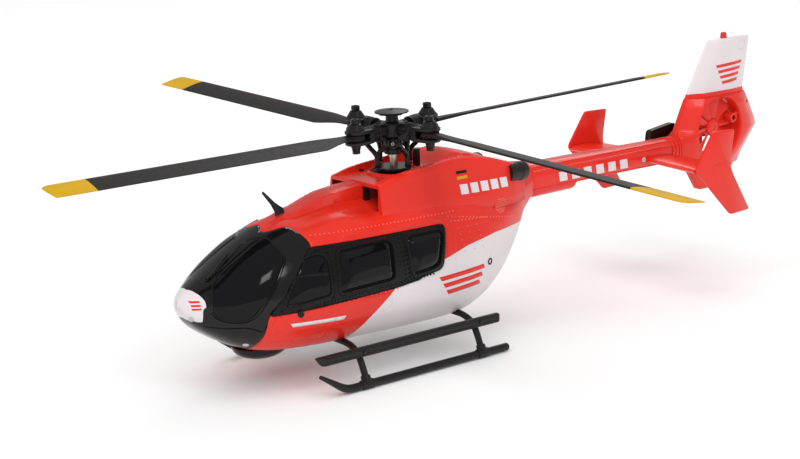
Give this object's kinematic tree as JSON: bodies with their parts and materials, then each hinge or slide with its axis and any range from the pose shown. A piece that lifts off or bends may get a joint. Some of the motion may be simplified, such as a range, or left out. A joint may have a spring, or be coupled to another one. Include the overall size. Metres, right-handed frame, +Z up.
{
  "type": "helicopter scale model",
  "caption": "Scale model helicopter with ducted tail fan, folding four-blade main rotor on a swashplate head, glazed cabin shells, stabiliser with end plates and skid gear.",
  "frame": {"origin": "on the ground plane under the middle of the overall box (the mast stands 0.038 m ahead of it)", "axes": "+X towards the nose, +Y to the port side, +Z up"},
  "size_m": [0.4272, 0.3519, 0.125],
  "materials": {
    "shell_red": "glossy painted shell, red with white lower panels",
    "gloss_black": "high gloss",
    "window_dark": "glossy tinted",
    "gear_black": "satin moulded",
    "head_black": "satin moulded",
    "blade_black": "satin with yellow painted tips",
    "steel": "ground",
    "motor_can": "rolled",
    "beacon_red": "translucent",
    "gear_white": "moulded nylon",
    "battery_wrap": "heat-shrink",
    "board_green": "coated board",
    "servo_case": "moulded"
  },
  "bodies": {
    "airframe": {"nose_canopy": "gloss_black", "cabin_shell_left": "shell_red", "cabin_shell_right": "shell_red", "window_panel_left": "window_dark", "window_panel_right": "window_dark", "roof_cowling": "shell_red", "exhaust_left": "gear_black", "exhaust_right": "gear_black", "roof_antenna": "gear_black", "belly_sensor_pod": "gloss_black", "tail_boom": "shell_red", "horizontal_stabilizer": "shell_red", "end_plate_left": "shell_red", "end_plate_right": "shell_red", "fin_housing": "shell_red", "tail_motor": "motor_can", "beacon_lamp": "beacon_red", "duct_fairing": "gloss_black", "front_cross_tube": "gear_black", "rear_cross_tube": "gear_black", "skid_left": "gear_black", "skid_right": "gear_black", "step_left": "gear_black", "step_right": "gear_black", "main_motor": "motor_can", "upper_bearing": "steel", "lower_bearing": "steel", "main_frame": "head_black", "servo_1": "servo_case", "servo_2": "servo_case", "servo_3": "servo_case", "battery_pack": "battery_wrap", "flight_board": "board_green"},
    "rotor": {"main_shaft": "steel", "rotor_hub": "head_black", "head_cap": "head_black", "main_gear": "gear_white"},
    "swash_fixed": {"swashplate_inner": "head_black"},
    "swash_rotating": {"swashplate_outer": "head_black", "pitch_link_1": "head_black", "pitch_link_2": "head_black", "pitch_link_3": "head_black", "pitch_link_4": "head_black"},
    "grip_1": {"blade_grip_1": "head_black", "blade_bolt_1": "steel"},
    "blade_1": {"main_blade_1": "blade_black"},
    "grip_2": {"blade_grip_2": "head_black", "blade_bolt_2": "steel"},
    "blade_2": {"main_blade_2": "blade_black"},
    "grip_3": {"blade_grip_3": "head_black", "blade_bolt_3": "steel"},
    "blade_3": {"main_blade_3": "blade_black"},
    "grip_4": {"blade_grip_4": "head_black", "blade_bolt_4": "steel"},
    "blade_4": {"main_blade_4": "blade_black"},
    "motor_shaft": {"motor_pinion": "steel"},
    "servo_lever_1": {"servo_arm_1": "gear_white"},
    "servo_lever_2": {"servo_arm_2": "gear_white"},
    "servo_lever_3": {"servo_arm_3": "gear_white"},
    "fan": {"tail_rotor": "shell_red"}
  },
  "joints": [
    {"name": "rotor_spin", "type": "hinge", "parent": "airframe", "child": "rotor", "pos_m": [0.03761, 0, 0.1015], "axis": [0.0349, 0, 0.9994], "continuous": true},
    {"name": "motor_spin", "type": "hinge", "parent": "airframe", "child": "motor_shaft", "pos_m": [0.01477, 0, 0.04927], "axis": [0.0349, 0, 0.9994], "continuous": true},
    {"name": "collective", "type": "slide", "parent": "airframe", "child": "swash_fixed", "axis": [0.0349, 0, 0.9994], "range_m": [-0.001, 0.001]},
    {"name": "swash_follow", "type": "slide", "parent": "rotor", "child": "swash_rotating", "axis": [0.0349, 0, 0.9994], "range_m": [-0.001, 0.001]},
    {"name": "pitch_1", "type": "hinge", "parent": "rotor", "child": "grip_1", "pos_m": [0.03761, 0, 0.1015], "axis": [-0.9939, -0.1045, 0.0347], "range_deg": [-8.2, 8.2]},
    {"name": "fold_1", "type": "hinge", "parent": "grip_1", "child": "blade_1", "pos_m": [0.06047, 0.0024, 0.1007], "axis": [0.0349, 0, 0.9994], "range_deg": [-34.4, 45.6]},
    {"name": "pitch_2", "type": "hinge", "parent": "rotor", "child": "grip_2", "pos_m": [0.03761, 0, 0.1015], "axis": [0.1045, -0.9945, -0.0036], "range_deg": [-8.2, 8.2]},
    {"name": "fold_2", "type": "hinge", "parent": "grip_2", "child": "blade_2", "pos_m": [0.03521, 0.02287, 0.10158], "axis": [0.0349, 0, 0.9994], "range_deg": [-32.8, 47.2]},
    {"name": "pitch_3", "type": "hinge", "parent": "rotor", "child": "grip_3", "pos_m": [0.03761, 0, 0.1015], "axis": [0.9939, 0.1045, -0.0347], "range_deg": [-8.2, 8.2]},
    {"name": "fold_3", "type": "hinge", "parent": "grip_3", "child": "blade_3", "pos_m": [0.01475, -0.0024, 0.1023], "axis": [0.0349, 0, 0.9994], "range_deg": [-31.6, 48.4]},
    {"name": "pitch_4", "type": "hinge", "parent": "rotor", "child": "grip_4", "pos_m": [0.03761, 0, 0.1015], "axis": [-0.1045, 0.9945, 0.0036], "range_deg": [-8.2, 8.2]},
    {"name": "fold_4", "type": "hinge", "parent": "grip_4", "child": "blade_4", "pos_m": [0.04001, -0.02287, 0.10142], "axis": [0.0349, 0, 0.9994], "range_deg": [-33.5, 46.5]},
    {"name": "servo_1_turn", "type": "hinge", "parent": "airframe", "child": "servo_lever_1", "pos_m": [0.04486, -0.006, 0.06262], "axis": [0.9994, 0, -0.0349], "range_deg": [-9.8, 9.8]},
    {"name": "servo_2_turn", "type": "hinge", "parent": "airframe", "child": "servo_lever_2", "pos_m": [0.03896, 0.01013, 0.06283], "axis": [-0.3418, 0.9397, 0.0119], "range_deg": [-9.8, 9.8]},
    {"name": "servo_3_turn", "type": "hinge", "parent": "airframe", "child": "servo_lever_3", "pos_m": [0.02769, -0.00603, 0.06322], "axis": [-0.3418, -0.9397, 0.0119], "range_deg": [-9.8, 9.8]},
    {"name": "fan_spin", "type": "hinge", "parent": "airframe", "child": "fan", "pos_m": [-0.17739, 0, 0.076], "axis": [0, 1, 0], "continuous": true}
  ],
  "couplings": [
    {"joint": "motor_spin", "follows": "rotor_spin", "ratio": -6},
    {"joint": "swash_follow", "follows": "collective", "ratio": 1},
    {"joint": "pitch_1", "follows": "collective", "rad_per_m": 140.85},
    {"joint": "pitch_2", "follows": "collective", "rad_per_m": 140.85},
    {"joint": "pitch_3", "follows": "collective", "rad_per_m": 140.85},
    {"joint": "pitch_4", "follows": "collective", "rad_per_m": 140.85},
    {"joint": "servo_1_turn", "follows": "collective", "rad_per_m": 166.67},
    {"joint": "servo_2_turn", "follows": "collective", "rad_per_m": 166.67},
    {"joint": "servo_3_turn", "follows": "collective", "rad_per_m": 166.67}
  ]
}
